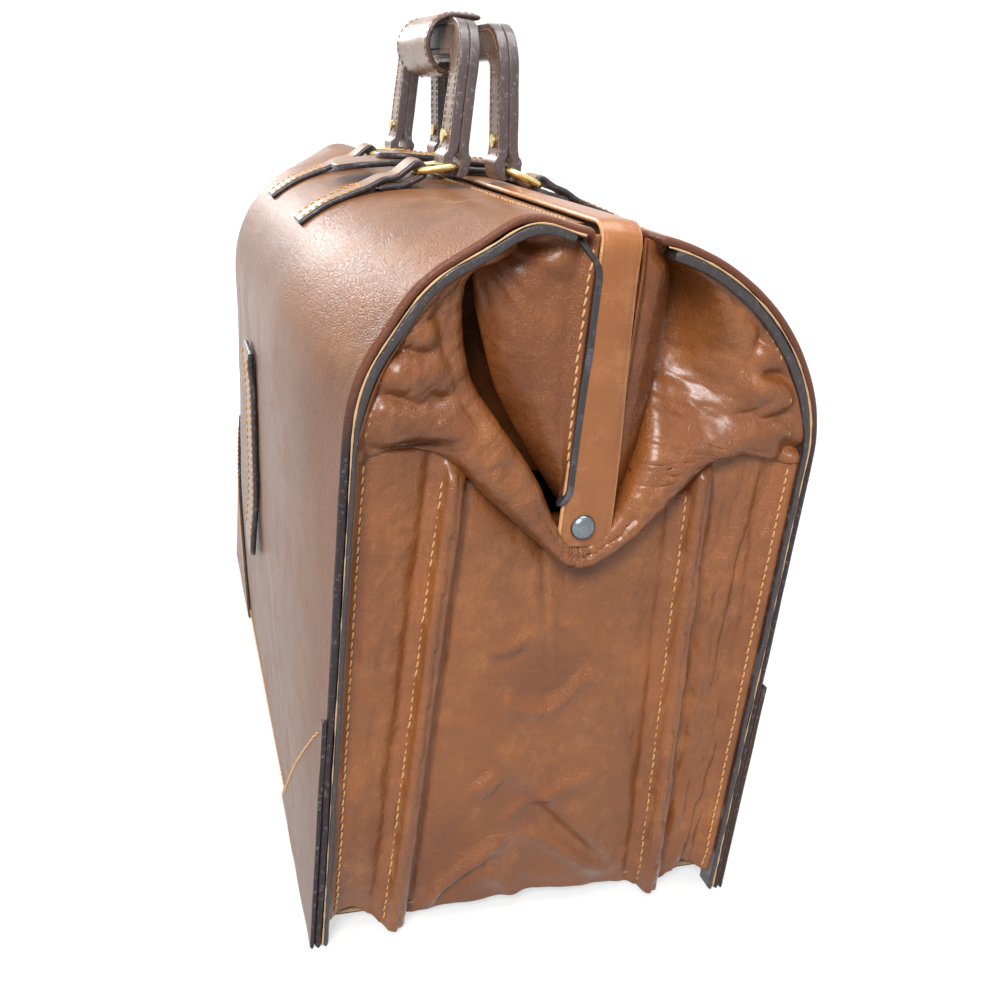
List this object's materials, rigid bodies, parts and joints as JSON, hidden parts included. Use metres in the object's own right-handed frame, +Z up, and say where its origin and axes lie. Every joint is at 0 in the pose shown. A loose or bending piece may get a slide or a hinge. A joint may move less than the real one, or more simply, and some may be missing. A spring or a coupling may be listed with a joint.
{
  "type": "briefcase",
  "caption": "Top-frame leather briefcase standing shut, with twin handles on wire rings, a strap over the hinged arched mouth, pleated end gussets and corner patches.",
  "frame": {"origin": "middle of the footprint on the floor", "axes": "+X along the body, -Y out of the front panel, +Z up"},
  "size_m": [0.43, 0.2262, 0.3998],
  "materials": {
    "panel_leather": "waxed, worn gloss",
    "gusset_leather": "soft, glossy wrinkles",
    "edge_leather": "burnished painted edge",
    "patch_leather": "waxed",
    "strap_leather": "waxed",
    "handle_leather": "burnished",
    "wrap_leather": "worn gloss",
    "tongue_leather": "smooth satin",
    "cover_leather": "satin",
    "lining": "soft matt split leather",
    "board": "pressed board",
    "steel": "satin",
    "gunmetal": "dark polished",
    "brass": "polished, lightly worn"
  },
  "bodies": {
    "body": {"base_board": "board", "base_leather": "patch_leather", "base_lining": "lining", "front_panel": "panel_leather", "back_panel": "panel_leather", "front_panel_lining": "lining", "back_panel_lining": "lining", "front_panel_rands": "edge_leather", "back_panel_rands": "edge_leather", "front_corner_patches": "patch_leather", "back_corner_patches": "patch_leather", "front_keeper_tab": "strap_leather", "right_gusset": "gusset_leather", "left_gusset": "gusset_leather", "right_gusset_welts": "gusset_leather", "left_gusset_welts": "gusset_leather"},
    "pivots": {"pivot_rivets": "gunmetal", "pivot_washers": "steel", "right_gusset_ply": "gusset_leather", "left_gusset_ply": "gusset_leather"},
    "front_frame": {"front_frame": "steel", "front_frame_cover": "cover_leather", "front_leg_strips": "edge_leather", "top_strip": "tongue_leather"},
    "back_frame": {"back_frame": "steel", "back_frame_cover": "cover_leather", "back_leg_strips": "edge_leather"},
    "front_arch": {"front_arch": "panel_leather", "front_arch_lining": "lining", "front_arch_rands": "edge_leather", "right_front_wing": "gusset_leather", "left_front_wing": "gusset_leather", "front_handle_tabs": "strap_leather"},
    "back_arch": {"back_arch": "panel_leather", "back_arch_lining": "lining", "back_arch_rands": "edge_leather", "right_back_wing": "gusset_leather", "left_back_wing": "gusset_leather", "back_handle_tabs": "strap_leather", "closure_root": "strap_leather"},
    "front_rings": {"front_rings": "brass"},
    "back_rings": {"back_rings": "brass"},
    "front_handle": {"front_handle": "handle_leather", "front_handle_rivets": "brass"},
    "back_handle": {"back_handle": "handle_leather", "back_handle_rivets": "brass"},
    "grip_wrap": {"grip_wrap": "wrap_leather"},
    "closure_strap": {"closure_strap": "strap_leather", "closure_ply": "strap_leather"}
  },
  "joints": [
    {"name": "pivot_rise", "type": "slide", "parent": "body", "child": "pivots", "axis": [0, 0, 1], "range_m": [0, 0.0667], "deforming": ["right_gusset_ply", "left_gusset_ply"]},
    {"name": "front_frame_pivot", "type": "hinge", "parent": "pivots", "child": "front_frame", "pos_m": [0, 0, 0.2], "axis": [1, 0, 0], "range_deg": [0, 36]},
    {"name": "back_frame_pivot", "type": "hinge", "parent": "pivots", "child": "back_frame", "pos_m": [0, 0, 0.2], "axis": [1, 0, 0], "range_deg": [-36, 0]},
    {"name": "front_arch_fold", "type": "hinge", "parent": "body", "child": "front_arch", "pos_m": [0, -0.1025, 0.2333], "axis": [1, 0, 0], "range_deg": [0, 36], "deforming": ["right_front_wing", "left_front_wing"]},
    {"name": "back_arch_fold", "type": "hinge", "parent": "body", "child": "back_arch", "pos_m": [0, 0.1025, 0.2333], "axis": [1, 0, 0], "range_deg": [-36, 0], "deforming": ["right_back_wing", "left_back_wing"]},
    {"name": "front_ring_swing", "type": "hinge", "parent": "front_arch", "child": "front_rings", "pos_m": [0, -0.04651, 0.32627], "axis": [1, 0, 0], "range_deg": [0, 40]},
    {"name": "front_handle_swing", "type": "hinge", "parent": "front_rings", "child": "front_handle", "pos_m": [0, -0.02792, 0.33022], "axis": [1, 0, 0], "range_deg": [0, 50]},
    {"name": "back_ring_swing", "type": "hinge", "parent": "back_arch", "child": "back_rings", "pos_m": [0, 0.01667, 0.32464], "axis": [1, 0, 0], "range_deg": [-40, 0]},
    {"name": "back_handle_swing", "type": "hinge", "parent": "back_rings", "child": "back_handle", "pos_m": [0, -0.0014, 0.33051], "axis": [1, 0, 0], "range_deg": [-50, 0]},
    {"name": "grip_wrap_open", "type": "hinge", "parent": "front_handle", "child": "grip_wrap", "pos_m": [0, -0.02262, 0.39662], "axis": [1, 0, 0], "range_deg": [-70, 0]},
    {"name": "closure_lift", "type": "hinge", "parent": "back_arch", "child": "closure_strap", "pos_m": [0, 0.016, 0.3282], "axis": [1, 0, 0], "range_deg": [-30, 0]}
  ],
  "couplings": [
    {"joint": "back_frame_pivot", "follows": "front_frame_pivot", "ratio": -1},
    {"joint": "front_arch_fold", "follows": "front_frame_pivot", "ratio": 1},
    {"joint": "back_arch_fold", "follows": "front_frame_pivot", "ratio": -1},
    {"joint": "pivot_rise", "follows": "front_frame_pivot", "m_per_rad": 0.10601},
    {"joint": "front_handle_swing", "follows": "front_ring_swing", "ratio": 1.25},
    {"joint": "back_handle_swing", "follows": "back_ring_swing", "ratio": 1.25}
  ]
}
